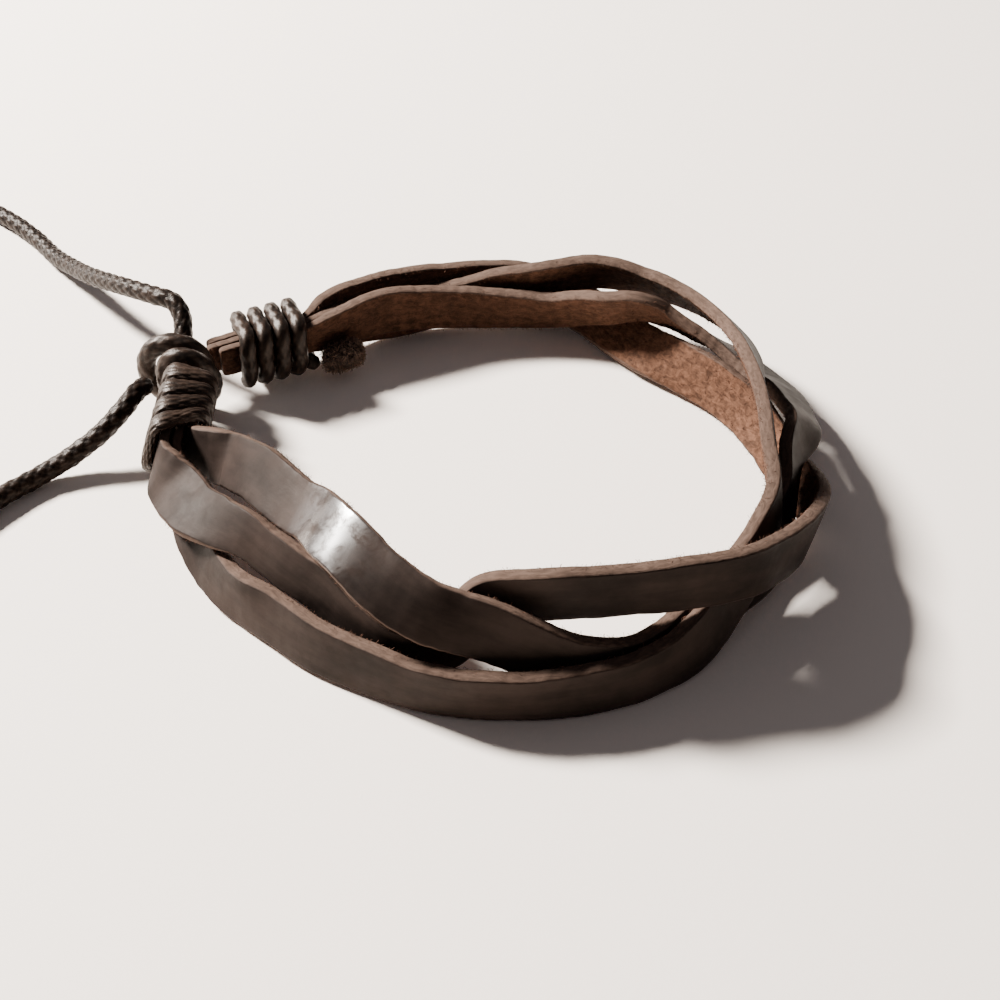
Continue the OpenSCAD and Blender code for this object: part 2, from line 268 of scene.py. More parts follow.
LOWER_ROUTE = [
    (-36.3, 11.9, 5.0), (-36.5, 10.6, 5.4), (-37.0, 9.0, 5.6), (-37.9, 7.0, 5.2),
    (-39.4, 5.2, 4.2), (-41.2, 4.0, 3.1), (-43.4, 2.7, 2.0), (-46.3, 0.7, 1.2),
    (-49.4, -2.6, 1.2), (-51.8, -6.0, 1.2),
    (-53.8, -9.5, 1.2), (-55.6, -13.0, 1.2)
]
END_ROUTE = [(-17.6, 19.6, 2.6), (-16.2, 20.1, 2.7), (-14.9, 20.7, 2.8), (-13.4, 21.3, 2.7)]
END_RADII = [1.45, 1.6, 1.65, 1.5]


# Shapes


def smooth_rows(rows, places):
    """Rows on the smooth curve through a table's rows, at places counted in rows."""
    table = np.array(rows, float)
    i = np.clip(np.floor(places).astype(int), 0, len(table) - 2)
    u = (places - i)[:, None]
    p0 = table[np.maximum(i - 1, 0)]
    p1 = table[i]
    p2 = table[i + 1]
    p3 = table[np.minimum(i + 2, len(table) - 1)]
    return p1 + 0.5 * u * (p2 - p0 + u * (2 * p0 - 5 * p1 + 4 * p2 - p3 + u * (3 * (p1 - p2) + p3 - p0)))


def unit(v):
    """The same direction with a length of one."""
    return v / np.linalg.norm(v, axis=-1, keepdims=True)


def lengths_along(points):
    """How far along a line each of its points lies."""
    steps = np.linalg.norm(np.diff(points, axis=0), axis=1)
    return np.concatenate([[0.0], np.cumsum(steps)])


def evenly(points, gap):
    """The same line with points at even gaps. Columns after the third are carried along."""
    s = lengths_along(points[:, :3])
    count = max(int(round(s[-1] / gap)), 4)
    want = np.linspace(0, s[-1], count + 1)
    return np.stack([np.interp(want, s, column) for column in points.T], axis=1)


def ripple(x, y, size, seed):
    """A gentle uneven surface between -1 and 1, with waves of about the given size."""
    rng = np.random.default_rng(seed)
    total = np.zeros(np.broadcast(x, y).shape)
    for _ in range(9):
        turn = rng.uniform(0, 2 * math.pi)
        wave = 2 * math.pi / (size * rng.uniform(0.6, 1.8))
        total += np.sin(wave * (math.cos(turn) * x + math.sin(turn) * y) + rng.uniform(0, 6.28))
    return total / 5.0


def skin(name, rings):
    """A closed skin of quads over rings of points, in metres, with flat capped ends."""
    count, n = rings.shape[0], rings.shape[1]
    points = rings.reshape(-1, 3)
    i, k = np.meshgrid(np.arange(count - 1), np.arange(n), indexing="ij")
    a = i * n + k
    b = i * n + (k + 1) % n
    faces = np.stack([a, b, b + n, a + n], axis=-1).reshape(-1, 4).tolist()
    faces.append(list(range(n))[::-1])
    faces.append([(count - 1) * n + k for k in range(n)])
    mesh = bpy.data.meshes.new(name)
    mesh.from_pydata(points.tolist(), [], faces)
    mesh.validate()
    mesh.polygons.foreach_set("use_smooth", [True] * len(mesh.polygons))
    obj = bpy.data.objects.new(name, mesh)
    bpy.context.scene.collection.objects.link(obj)
    return obj


def paint(obj, name, values):
    """A number for each point of a mesh, for its material to read."""
    attribute = obj.data.attributes.new(name, "FLOAT", "POINT")
    attribute.data.foreach_set("value", np.asarray(values, np.float32).ravel())


def lay_uv(obj, n, along, around):
    """A UV map in metres: along the piece, and round its section from the seam."""
    layer = obj.data.uv_layers.new(name="lay")
    loops = np.zeros(len(obj.data.loops), int)
    obj.data.loops.foreach_get("vertex_index", loops)
    ring, place = loops // n, loops % n
    u = along[ring]
    v = around[ring, place]
    # the last face of each ring closes on the seam
    starts = np.zeros(len(obj.data.polygons), int)
    totals = np.zeros(len(obj.data.polygons), int)
    obj.data.polygons.foreach_get("loop_start", starts)
    obj.data.polygons.foreach_get("loop_total", totals)
    quads = starts[totals == 4]
    corners = quads[:, None] + np.arange(4)
    wraps = (place[corners].min(axis=1) == 0) & (place[corners].max(axis=1) == n - 1)
    last = corners[wraps]
    full = around[:, -1] + (around[:, 1] - around[:, 0])
    zero = place[last] == 0
    v[last[zero]] = full[ring[last[zero]]]
    layer.data.foreach_set("uv", np.stack([u, v], axis=1).astype(np.float32).ravel())


def strap_section(width, thickness, rounding):
    """The outline of a strap's section, from the middle of its inner face round by the top:
    places across and outwards, with how much each place is cut edge and inner suede."""
    w, t, r = width / 2, thickness / 2, rounding

    def corner(side, face, angles):
        """Points round one corner. Those of the suede face show a little more cut edge."""
        points = []
        for a in map(math.radians, angles):
            cut, suede = (0.5 + a / 3, 1 - a / 1.8) if face < 0 else (0.35 + a / 2.4, 0)
            x = side * (w - r + r * math.sin(a))
            y = face * (t - r + r * math.cos(a))
            points.append((x, y, cut, suede))
        return points

    to_edge, from_edge = (22, 50, 78), (78, 50, 22)
    outline = [(x, -t, 0, 1) for x in np.linspace(0, w - r, 7)]
    outline += corner(1, -1, to_edge) + [(w + EDGE_BULGE, 0, 1, 0)] + corner(1, 1, from_edge)
    outline += [(x, t + FACE_BULGE * (1 - (x / w) ** 2), 0, 0) for x in np.linspace(w - r, -(w - r), 13)]
    outline += corner(-1, 1, to_edge) + [(-w - EDGE_BULGE, 0, 1, 0)] + corner(-1, -1, from_edge)
    outline += [(x, -t, 0, 1) for x in np.linspace(-(w - r), 0, 7)[:-1]]
    return np.array(outline)


def make_strap(name, rows, width, thickness, seed, rubbed):
    """One flat strap: its rings follow its table, its edges are cut a little unevenly and its
    inner face has a raised nap. Its outer face is rubbed to a shine round one angle."""
    places = np.linspace(0, len(rows) - 1, (len(rows) - 1) * RINGS_A_ROW + 1)
    row = smooth_rows(rows, places)
    angle = np.radians(row[:, 0])
    lean = np.radians(row[:, 3])[:, None]
    out = np.stack([np.cos(angle), np.sin(angle), 0 * angle], axis=1)

    def middle(r):
        """The middle of the strap at rows of its table."""
        a = np.radians(r[:, 0])
        return np.stack([r[:, 1] * np.cos(a), r[:, 1] * np.sin(a), r[:, 2]], axis=1)

    centre = middle(row)
    ahead = middle(smooth_rows(rows, places + 0.05)) - middle(smooth_rows(rows, places - 0.05))
    along = unit(ahead)
    tilted = -np.sin(lean) * out + np.cos(lean) * np.array([0, 0, 1.0])
    across = unit(tilted - (tilted * along).sum(1, keepdims=True) * along)
    outward = np.cross(along, across)
    s = lengths_along(centre)

    # a little thinner than the solid, to leave room for the nap
    w = (width * row[:, 4])[:, None]
    t = (thickness * 0.97 * row[:, 5])[:, None]
    flat = strap_section(width, thickness, CORNER)
    n = len(flat)
    x = flat[None, :, 0] * w / width
    y = flat[None, :, 1] * t / thickness
    s2 = np.repeat(s[:, None], n, axis=1)
    around = np.concatenate([[0], np.cumsum(np.linalg.norm(np.diff(flat[:, :2], axis=0), axis=1))])
    g2 = np.repeat(around[None, :], len(places), axis=0)
    edge, suede = flat[None, :, 2], flat[None, :, 3]
    # cut edges wander, the suede is rough, the outer face is nearly smooth
    side = np.sign(flat[None, :, 0])
    wander = 0.09 * ripple(s2, side * 40, 6.0, seed) + 0.05 * ripple(s2, side * 17, 1.6, seed + 1)
    x = x * 0.98 + side * np.clip(wander, -0.2, 0.04) * (np.abs(flat[None, :, 0]) > width * 0.4)
    rough = 0.05 * ripple(s2, g2, 0.55, seed + 2) + 0.03 * ripple(s2, g2, 0.3, seed + 3)
    y = y + suede * (rough + 0.03) + edge * 0.5 * rough * np.sign(y)
    y = y - (1 - suede) * (1 - edge) * (0.03 + 0.025 * ripple(s2, g2, 4.5, seed + 4))
    # the cut ends are slightly rounded
    ends = np.minimum(s, s[-1] - s)
    close = np.clip(ends / 0.7, 0, 1)[:, None]
    shrink = 0.62 + 0.38 * np.sqrt(1 - (1 - close) ** 2)
    x, y = x * (0.5 + 0.5 * shrink), y * shrink
    rings = centre[:, None] + x[..., None] * across[:, None] + y[..., None] * outward[:, None]
    obj = skin(name, (rings + SHIFT) * MM)
    paint(obj, "edge", np.broadcast_to(edge, x.shape))
    paint(obj, "suede", np.broadcast_to(suede, x.shape))
    shine = np.clip(1.6 - np.abs(row[:, 0] - rubbed) / 11, 0, 1)
    paint(obj, "shine", np.broadcast_to((shine * shine * (3 - 2 * shine))[:, None], x.shape))
    lay_uv(obj, n, s * MM, g2 * MM)
    return obj


def braid(around, along, strands, pitch):
    """The height of a braided cord's surface, from 0 in the gaps to 1 on the strands."""
    a = strands * around + 2 * math.pi * along / pitch
    b = strands * around - 2 * math.pi * along / pitch
    return np.abs(np.cos(a / 2) * np.cos(b / 2)) ** 0.55


def make_cord(name, path, radii, weave, relief, seed, frames=None, sides=CORD_SIDES):
    """A braided cord along a path. frames gives the section's two directions where the cord is
    pressed flat; otherwise they are carried along the path without twist."""
    ahead = unit(np.gradient(path, axis=0))
    s = lengths_along(path)
    if frames is None:
        side = np.zeros_like(path)
        first = np.cross(ahead[0], [0.31, 0.17, 0.94])
        side[0] = first / np.linalg.norm(first)
        for i in range(1, len(path)):
            v = side[i - 1] - side[i - 1].dot(ahead[i]) * ahead[i]
            side[i] = v / np.linalg.norm(v)
        up = np.cross(ahead, side)
    else:
        side, up = frames
    angle = np.linspace(0, 2 * math.pi, sides, endpoint=False)
    a2 = np.repeat(angle[None, :], len(path), axis=0)
    s2 = np.repeat(s[:, None], sides, axis=1)
    height = braid(a2, s2, **weave)
    uneven = 0.04 * ripple(s2, np.cos(a2) * 1.2 + np.sin(a2) * 0.7, 2.2, seed)
    rx, ry = radii if isinstance(radii, tuple) else (radii, radii)
    ends = np.clip(np.minimum(s, s[-1] - s) / (np.max(ry) * 0.5), 0, 1)
    closing = (0.45 + 0.55 * np.sqrt(1 - (1 - ends) ** 2))[:, None]
    scale = (1 - relief + relief * height + uneven) * closing
    rx = np.broadcast_to(np.asarray(rx, float), (len(path),))[:, None]
    ry = np.broadcast_to(np.asarray(ry, float), (len(path),))[:, None]
    rings = (path[:, None] + (rx * scale * np.cos(a2))[..., None] * side[:, None]
             + (ry * scale * np.sin(a2))[..., None] * up[:, None])
    obj = skin(name, (rings + SHIFT) * MM)
    paint(obj, "weave", height)
    return obj


def route_line(route, gap):
    """An even line along the smooth curve through a route's points."""
    places = np.linspace(0, len(route) - 1, (len(route) - 1) * POINTS_A_STRETCH + 1)
    return evenly(smooth_rows(route, places), gap)


def coil(thick, middle, heading, tip, first, turns, pitch, half_height, spread):
    """The middle line of the cord round a bundle of straps, the bundle's direction, and how much
    wider than its middle the wrap is at each point."""
    u = np.linspace(first, first + turns, int(turns * POINTS_A_TURN))
    c, s = np.cos(2 * math.pi * u), np.sin(2 * math.pi * u)
    square_c, square_s = np.sign(c) * np.abs(c) ** 0.4, np.sign(s) * np.abs(s) ** 0.4
    x = (HALF_STACK + thick) * square_c
    z = (half_height + thick) * square_s
    fan = 1 - spread * square_c
    tip, heading = math.radians(tip), math.radians(heading)
    side = np.array([math.sin(heading), -math.cos(heading), 0])
    ahead = np.array([math.cos(heading), math.sin(heading), 0])
    across = x * math.cos(tip) + z * math.sin(tip)
    up = z * math.cos(tip) - x * math.sin(tip)
    on = (turns / 2 - (first + turns - u) * fan) * pitch
    line = (np.array(middle) + across[:, None] * side + on[:, None] * ahead
            + up[:, None] * np.array([0, 0, 1.0]))
    line = evenly(np.column_stack([line, fan]), COIL_GAP)
    return line[:, :3], ahead, line[:, 3]


def coil_frames(path, bundle):
    """The two directions of a turn's section: through the turn, and along the bundle."""
    ahead = np.gradient(path, axis=0)
    round_it = unit(ahead - (ahead @ bundle)[:, None] * bundle)
    return np.cross(bundle, round_it), np.broadcast_to(bundle, path.shape)


# Finishes


def add_node(tree, kind, settings=None, sockets=None):
    """Adds a node: its settings first, then its sockets' values or links."""
    node = tree.nodes.new(kind)
    for key, value in (settings or {}).items():
        setattr(node, key, value)
    for key, value in (sockets or {}).items():
        if isinstance(value, bpy.types.NodeSocket):
            tree.links.new(value, node.inputs[key])
        else:
            node.inputs[key].default_value = value
    return node


class Wire:
    """One socket of a finish. Sums written with wires add the nodes that work them out."""

    def __init__(self, finish, socket):
        self.finish = finish
        self.socket = socket

    def maths(self, operation, *values):
        """A Math node over wires and numbers."""
        return self.finish.add("ShaderNodeMath", {"operation": operation}, dict(enumerate(values)))

    def __add__(self, other):
        return self.maths("ADD", self, other)

    __radd__ = __add__

    def __sub__(self, other):
        return self.maths("SUBTRACT", self, other)

    def __rsub__(self, other):
        return self.maths("SUBTRACT", other, self)

    def __mul__(self, other):
        return self.maths("MULTIPLY", self, other)

    __rmul__ = __mul__

    def ramp(self, low, high):
        """0 below low, 1 above high and smooth between."""
        return self.finish.add(
            "ShaderNodeMapRange",
            {"interpolation_type": "SMOOTHSTEP"},
            {"Value": self, "From Min": low, "From Max": high},
        )


class Finish:
    """A procedural material under construction."""

    def __init__(self, name, gloss=0.5):
        self.material = bpy.data.materials.new(name)
        self.material.use_nodes = True
        self.tree = self.material.node_tree
        self.tree.nodes.clear()
        self.shader = self.tree.nodes.new("ShaderNodeBsdfPrincipled")
        self.shader.inputs["Metallic"].default_value = 0.0
        self.shader.inputs["Specular IOR Level"].default_value = gloss
        self.shader.inputs["Specular Tint"].default_value = (1.0, 0.86, 0.77, 1.0)
        output = self.tree.nodes.new("ShaderNodeOutputMaterial")
        self.tree.links.new(self.shader.outputs[0], output.inputs["Surface"])
        self.place = self.add("ShaderNodeTexCoord", out="Object")

    def add(self, kind, settings=None, sockets=None, out=0):
        """A node with its settings, then its sockets' values or wires."""
        sockets = {
            key: value.socket if isinstance(value, Wire) else value
            for key, value in (sockets or {}).items()
        }
        return Wire(self, add_node(self.tree, kind, settings, sockets).outputs[out])

    def lay(self, along, across):
        """The piece's own UV map, stretched by so many features a metre each way."""
        uv = self.add("ShaderNodeUVMap", {"uv_map": "lay"})
        return self.add("ShaderNodeMapping", None, {"Vector": uv, "Scale": (along, across, 1)})

    def number(self, name):
        """A number that the mesh holds at its points."""
        return self.add("ShaderNodeAttribute", {"attribute_name": name}, out="Fac")

    def noise(self, scale, detail, roughness, place=None, distortion=0.0):
        """Uneven values between 0 and 1, on the object's own coordinates unless told otherwise."""
        return self.add(
            "ShaderNodeTexNoise",
            None,
            {"Vector": place or self.place, "Scale": scale, "Detail": detail,
             "Roughness": roughness, "Distortion": distortion},
        )

    def mix(self, share, a, b):
        """A colour between two colours."""
        a = a if isinstance(a, Wire) else (*a, 1.0)[:4]
        b = b if isinstance(b, Wire) else (*b, 1.0)[:4]
        return self.add("ShaderNodeMix", {"data_type": "RGBA"}, {0: share, 6: a, 7: b}, out=2)

    def set(self, **sockets):
        """Gives the shader's sockets their values or wires."""
        for key, value in sockets.items():
            socket = self.shader.inputs[key.replace("_", " ")]
            if isinstance(value, Wire):
                self.tree.links.new(value.socket, socket)
            else:
                socket.default_value = value

    def relief(self, height, depth):
        """Fine relief of the given depth, in metres."""
        bump = self.add("ShaderNodeBump", None, {"Strength": 1.0, "Distance": depth, "Height": height})
        self.tree.links.new(bump.socket, self.shader.inputs["Normal"])


def leather_finish(name, sizes, shade, painted_suede_light):
    """Leather with a smooth waxed face, a fuzzy suede back and pale cut edges."""
    f = Finish(name, gloss=0.085)
    edge, suede, shine = f.number("edge"), f.number("suede"), f.number("shine")
    face = sizes.leather_colour
    clouds = f.noise(120, 4, 0.6)
    streaks = f.noise(1.0, 5, 0.6, f.lay(110, 520))
    mottle = f.noise(520, 5, 0.65, distortion=0.4)
    # shade and the suede factor make each strap's face and suede lighter or darker than the others': painted
    # light and shade on copies of one leather
    smooth = f.mix((0.6 * clouds + 0.4 * streaks).ramp(0.32, 0.68),
                   [c * 0.55 * shade for c in face], [c * 1.8 * shade for c in face])
    scuffs = f.noise(1.0, 6, 0.7, f.lay(380, 1300)).ramp(0.6, 0.8) * clouds.ramp(0.45, 0.65)
    smooth = f.mix(scuffs * 0.35, smooth, [c * 0.9 for c in sizes.edge_colour])
    # suede: a mottled nap, darker in the hollows, which is painted shade
    nap = f.noise(900, 6, 0.72, distortion=0.6)
    tufts = f.noise(1.0, 4, 0.65, f.lay(800, 1700), 0.8)
    back = sizes.suede_colour
    back_colour = f.mix((0.5 * nap + 0.5 * tufts).ramp(0.36, 0.66),
                        [c * 0.42 * painted_suede_light for c in back], [c * 1.5 * painted_suede_light for c in back])
    back_colour = f.mix(f.noise(170, 3, 0.6).ramp(0.42, 0.7) * 0.5, back_colour,
                        [c * 0.55 for c in back])
    # cut edge: short soft fibres
    fibres = f.noise(1.0, 5, 0.6, f.lay(900, 2600), 0.7)
    cut = f.mix(fibres.ramp(0.3, 0.7), [c * 0.7 for c in sizes.edge_colour],
                [c * 1.22 for c in sizes.edge_colour])
    worn = (edge + 0.28 * (f.noise(700, 4, 0.6) - 0.5)).ramp(0.45, 0.8)
    colour = f.mix(suede, smooth, back_colour)
    colour = f.mix(worn, colour, cut)
    rough = 0.48 - 0.22 * shine + 0.12 * clouds + 0.34 * (mottle - 0.42) + 0.25 * suede + 0.25 * worn
    polish = shine * (1 - worn) * (0.15 + 1.3 * mottle.ramp(0.36, 0.6))
    f.shader.inputs["Coat Roughness"].default_value = 0.24
    f.set(Base_Color=colour, Roughness=rough, Coat_Weight=polish)
    folds = f.noise(1.0, 2, 0.5, f.lay(230, 70))
    height = (1 - suede) * (1 - worn) * (0.5 * mottle + 0.35 * streaks + 3.2 * folds * (1 - shine))
    height = height + suede * (1.9 * nap + 1.3 * tufts) + worn * (1.1 * fibres + 0.6 * nap)
    f.relief(height, 0.00006)
    return f.material


def cord_finish(name, sizes, shade, gloss=0.22):
    """Waxed braided cord: strands with painted shade in the gaps between them, and specks of wax."""
    f = Finish(name, gloss=gloss)
    weave = f.number("weave")
    threads = f.noise(5200, 3, 0.6, distortion=0.4)
    clouds = f.noise(420, 4, 0.6)
    # shade, given for each piece, makes the same cord lighter or darker: painted light and shade
    base = [c * shade for c in sizes.cord_colour]
    # painted shade: the gaps between the strands are darkened to about a third of the cord's colour
    colour = f.mix((weave + 0.5 * (clouds - 0.5)).ramp(0.25, 0.95), [c * 0.3 for c in base], base)
    colour = f.mix(clouds.ramp(0.45, 0.75) * 0.55, colour, [c * 1.9 for c in base])
    wax = f.noise(1900, 5, 0.72).ramp(0.64, 0.76) * weave.ramp(0.4, 0.9)
    colour = f.mix(wax * 0.4, colour, (0.3, 0.23, 0.19))
    f.set(Base_Color=colour, Roughness=0.2 + 0.3 * clouds + 0.12 * threads)
    f.relief(0.8 * threads + 0.6 * f.noise(2100, 4, 0.6), 0.00005)
    return f.material


def fibre_finish(name, colour):
    """Loose fibres, from dark to pale."""
    f = Finish(name, gloss=0.1)
    shade = f.noise(1500, 2, 0.5).ramp(0.3, 0.7)
    f.set(Base_Color=f.mix(shade, [c * 0.5 for c in colour], [c * 1.5 for c in colour]), Roughness=0.85)
    return f.material


def floor_finish(colour):
    """A plain pale matt floor."""
    f = Finish("pale_floor")
    f.set(Base_Color=f.mix(f.noise(14, 3, 0.5), [c * 0.985 for c in colour], colour), Roughness=0.75)
    f.relief(f.noise(1400, 3, 0.6), 0.00001)
    return f.material


def wear(obj, material):
    """Gives an object its one material."""
    obj.data.materials.clear()
    obj.data.materials.append(material)


# Loose fibres


def fibre_tree():
    """A node tree that grows bent fibres on a mesh where its nap attribute is set."""
    tree = bpy.data.node_groups.new("grow_fibres", "GeometryNodeTree")
    socket = tree.interface.new_socket
    socket("Geometry", in_out="INPUT", socket_type="NodeSocketGeometry")
    for label, value in (("Density", 1e6), ("Length", 0.001), ("Radius", 0.00004), ("Spread", 0.8)):
        socket(label, in_out="INPUT", socket_type="NodeSocketFloat").default_value = value
    socket("Seed", in_out="INPUT", socket_type="NodeSocketInt").default_value = 1
    socket("Material", in_out="INPUT", socket_type="NodeSocketMaterial")
    socket("Geometry", in_out="OUTPUT", socket_type="NodeSocketGeometry")

    def add(kind, settings=None, sockets=None):
        """The outputs of a new node."""
        return add_node(tree, kind, settings, sockets).outputs

    def maths(operation, a, b):
        """A Math node over two links or numbers."""
        return add("ShaderNodeMath", {"operation": operation}, {0: a, 1: b})[0]

    given = add("NodeGroupInput")
    nap = add("GeometryNodeInputNamedAttribute", {"data_type": "FLOAT"}, {"Name": "nap"})[0]
    spots = add(
        "GeometryNodeDistributePointsOnFaces", None,
        {"Mesh": given["Geometry"], "Density": maths("MULTIPLY", nap, given["Density"]),
         "Seed": given["Seed"]},
    )
    # one bent fibre of unit length, thickened and scaled where it grows
    bow = add(
        "GeometryNodeCurveQuadraticBezier", None,
        {"Resolution": 4, "Start": (0, 0, -0.04), "Middle": (0.05, 0, 0.55), "End": (0.45, 0.12, 0.85)},
    )[0]
    thin = maths("DIVIDE", given["Radius"], given["Length"])
    ring = add("GeometryNodeCurvePrimitiveCircle", None, {"Resolution": 3, "Radius": thin})[0]
    fibre = add("GeometryNodeCurveToMesh", None, {"Curve": bow, "Profile Curve": ring, "Fill Caps": True})[0]
    # each fibre leans by up to the spread either way, and faces any way round
    spread = given["Spread"]
    other_way = maths("MULTIPLY", spread, -1.0)
    low = add("ShaderNodeCombineXYZ", None, {0: other_way, 1: other_way, 2: -3.14})[0]
    high = add("ShaderNodeCombineXYZ", None, {0: spread, 1: spread, 2: 3.14})[0]
    turn = add(
        "FunctionNodeRandomValue", {"data_type": "FLOAT_VECTOR"},
        {"Min": low, "Max": high, "Seed": given["Seed"]},
    )[0]
    facing = add(
        "FunctionNodeRotateRotation", {"rotation_space": "LOCAL"},
        {"Rotation": spots["Rotation"],
         "Rotate By": add("FunctionNodeEulerToRotation", None, {"Euler": turn})[0]},
    )[0]
    share = add(
        "FunctionNodeRandomValue", {"data_type": "FLOAT"}, {2: 0.35, 3: 1.0, "Seed": given["Seed"]}
    )[1]
    grown = add(
        "GeometryNodeInstanceOnPoints", None,
        {"Points": spots["Points"], "Instance": fibre, "Rotation": facing,
         "Scale": maths("MULTIPLY", share, given["Length"])},
    )[0]
    real = add("GeometryNodeRealizeInstances", None, {"Geometry": grown})[0]
    dressed = add(
        "GeometryNodeSetMaterial", None, {"Geometry": real, "Material": given["Material"]}
    )[0]
    add("NodeGroupOutput", None, {0: dressed})
    return tree


def grow_fibres(name, host, nap, material, density, length, radius, spread, seed):
    """Loose fibres as a plain mesh of their own, grown where nap is over 0 on the host."""
    base = bpy.data.objects.new(name + "_base", host.data.copy())
    bpy.context.scene.collection.objects.link(base)
    paint(base, "nap", nap)
    tree = bpy.data.node_groups.get("grow_fibres") or fibre_tree()
    modifier = base.modifiers.new("fibres", "NODES")
    modifier.node_group = tree
    values = {"Density": density, "Length": length, "Radius": radius, "Spread": spread,
              "Seed": seed, "Material": material}
    for item in tree.interface.items_tree:
        if item.item_type == "SOCKET" and item.in_out == "INPUT" and item.name in values:
            modifier[item.identifier] = values[item.name]
    done = base.evaluated_get(bpy.context.evaluated_depsgraph_get())
    result = bpy.data.meshes.new_from_object(done)
    result.name = name
    if not len(result.polygons):
        raise RuntimeError(name + ": no fibres grew")
    obj = bpy.data.objects.new(name, result)
    bpy.context.scene.collection.objects.link(obj)
    bpy.data.objects.remove(base)
    wear(obj, material)
    return obj


def numbers(obj, name):
    """The numbers that were painted on a mesh's points."""
    values = np.zeros(len(obj.data.vertices), np.float32)
    obj.data.attributes[name].data.foreach_get("value", values)
    return values


# Settings and operators


class BraceletSettings(bpy.types.PropertyGroup):
    """What a user would change."""

    strap_width: bpy.props.FloatProperty(
        name="Strap width", description="Width of each strap where it is free",
        default=0.0058, min=0.005, max=0.0062, unit="LENGTH", precision=4)
    strap_thickness: bpy.props.FloatProperty(
        name="Strap thickness", description="Thickness of the leather",
        default=0.0015, min=0.001, max=0.0016, unit="LENGTH", precision=4)
    cord_diameter: bpy.props.FloatProperty(
        name="Cord thickness", description="Thickness of the tails and the knot",
        default=0.0022, min=0.0015, max=0.0023, unit="LENGTH", precision=4)
    turn_diameter: bpy.props.FloatProperty(
        name="Turn thickness", description="Thickness of the cord in the back wrap",
        default=0.0019, min=0.0015, max=0.0021, unit="LENGTH", precision=4)
    fuzz: bpy.props.FloatProperty(
        name="Fuzz", description="How many loose fibres the suede has",
        default=1.0, min=0.0, max=2.0, subtype="FACTOR")
    leather_colour: bpy.props.FloatVectorProperty(
        name="Leather", description="Smooth face of the leather",
        default=(0.0165, 0.0112, 0.0093), min=0, max=1, subtype="COLOR")
    suede_colour: bpy.props.FloatVectorProperty(
        name="Suede", description="Rough back of the leather",
        default=(0.078, 0.037, 0.022), min=0, max=1, subtype="COLOR")
    edge_colour: bpy.props.FloatVectorProperty(
        name="Cut edge", description="Raw edges of the leather",
        default=(0.078, 0.05, 0.038), min=0, max=1, subtype="COLOR")
    cord_colour: bpy.props.FloatVectorProperty(
        name="Cord", description="Waxed cord",
        default=(0.022, 0.013, 0.009), min=0, max=1, subtype="COLOR")
    floor_colour: bpy.props.FloatVectorProperty(
        name="Floor", description="Floor under the bracelet",
        default=(0.955, 0.865, 0.79), min=0, max=1, subtype="COLOR")
    key_power: bpy.props.FloatProperty(
        name="Key light", description="Power of the window light",
        default=33.0, min=0.0, max=100.0, unit="POWER")


def settings():
    """The scene's bracelet settings."""
    return bpy.context.scene.bracelet


class BRACELET_OT_stage(bpy.types.Operator):
    """Set up the camera, the window light and the pale floor"""

    bl_idname = "bracelet.stage"
    bl_label = "Stage"

    def execute(self, context):
        sizes = settings()
        scene = context.scene
        aim = np.array(CAMERA_AIM) * MM
        rise = math.radians(CAMERA_RISE)
        camera = bpy.data.objects.new("camera", bpy.data.cameras.new("camera"))
        scene.collection.objects.link(camera)
        camera.data.sensor_width = 36
        camera.data.lens = CAMERA_LENS
        camera.data.clip_start = 0.005
        camera.location = aim + CAMERA_AWAY * np.array([0, -math.cos(rise), math.sin(rise)])
        camera.rotation_euler = (math.pi / 2 - rise, 0, 0)
        scene.camera = camera

        mesh = bpy.data.meshes.new("floor")
        line = np.linspace(-FLOOR_HALF, FLOOR_HALF, FLOOR_SQUARES + 1)
        points = [(x, y, 0.0) for y in line for x in line]
        wide = len(line)
        starts = [j * wide + i for j in range(FLOOR_SQUARES) for i in range(FLOOR_SQUARES)]
        faces = [(a, a + 1, a + wide + 1, a + wide) for a in starts]
        mesh.from_pydata(points, [], faces)
        floor = bpy.data.objects.new("floor", mesh)
        scene.collection.objects.link(floor)
        wear(floor, floor_finish(sizes.floor_colour))

        def window(name, toward, distance, wide, high, power, colour):
            """A light like a window, which faces the aim from the given direction."""
            light = bpy.data.objects.new(name, bpy.data.lights.new(name, "AREA"))
            scene.collection.objects.link(light)
            light.data.shape = "RECTANGLE"
            light.data.size, light.data.size_y = wide, high
            light.data.energy, light.data.color = power, colour
            toward = unit(np.array(toward, float))
            light.location = aim + distance * toward
            flat = math.hypot(toward[0], toward[1])
            turn = math.atan2(toward[1], toward[0]) + math.pi / 2
            light.rotation_euler = (math.atan2(flat, toward[2]), 0, turn)

        window("window", (-0.70, 0.41, 0.58), 0.7, 0.10, 0.12, sizes.key_power, (1.0, 0.955, 0.9))
        window("low_window", (-0.86, 0.50, 0.22), 0.8, 0.5, 0.22, sizes.key_power * 0.025, (1.0, 0.97, 0.94))
        world = bpy.data.worlds.new("room")
        world.use_nodes = True
        back = world.node_tree.nodes["Background"]
        back.inputs["Color"].default_value = (1.0, 0.93, 0.98, 1)
        back.inputs["Strength"].default_value = 0.135
        scene.world = world
        return {"FINISHED"}


class BRACELET_OT_tails(bpy.types.Operator):
    """Make the two free tails of waxed cord"""

    bl_idname = "bracelet.tails"
    bl_label = "Free tails"

    def execute(self, context):
        sizes = settings()
        d = sizes.cord_diameter
        # the tails' cord is painted darker than the knot's, as painted shade
        material = cord_finish("waxed_tail_cord", sizes, 0.6, 0.1)
        for name, node, route, seed in (("upper_tail_cord", "upper_tail", UPPER_ROUTE, 21),
                                        ("lower_tail_cord", "lower_tail", LOWER_ROUTE, 22)):
            line = route_line(route, CORD_GAP)
            obj = make_cord(name, line, d / 2 / MM, BRAID, 0.14, seed)
            wear(obj, material)
            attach(obj, "root")
            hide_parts(node)
        return {"FINISHED"}


